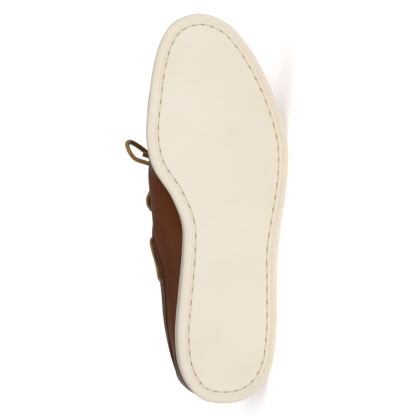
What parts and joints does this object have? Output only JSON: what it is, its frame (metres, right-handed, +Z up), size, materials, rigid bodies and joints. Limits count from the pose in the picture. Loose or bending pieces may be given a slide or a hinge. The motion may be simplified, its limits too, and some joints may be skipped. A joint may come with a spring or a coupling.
{
  "type": "boat shoe",
  "caption": "Left boat shoe lying on its outer side: flat stitched rubber sole, brown leather upper, open collar, rawhide lace tied in a bow.",
  "frame": {"origin": "on the floor, under the centre of the lying shoe's box, measured without the bow", "axes": "+X from heel to toe, +Z up from the floor the shoe lies on, -Y out of the sole; the shoe lies on its outer side"},
  "size_m": [0.2928, 0.0958, 0.113],
  "materials": {
    "sole_rubber": "matt moulded cream rubber",
    "upper_leather": "smooth oiled brown leather",
    "lining_leather": "undyed tan leather",
    "lace_rawhide": "waxed rawhide lace",
    "eyelet_brass": "aged brass"
  },
  "bodies": {
    "root": {"outsole": "sole_rubber", "insole": "lining_leather", "upper": "upper_leather", "tongue": "upper_leather", "heel_counter": "upper_leather", "eyelet_inner_rear": "eyelet_brass", "eyelet_inner_front": "eyelet_brass", "eyelet_outer_rear": "eyelet_brass", "eyelet_outer_front": "eyelet_brass", "lace_crossings": "lace_rawhide", "collar_lace_inner": "lace_rawhide", "collar_lace_outer": "lace_rawhide", "lace_knot": "lace_rawhide", "lace_loop_inner": "lace_rawhide", "lace_loop_outer": "lace_rawhide", "lace_end_inner": "lace_rawhide", "lace_end_outer": "lace_rawhide"}
  },
  "joints": []
}
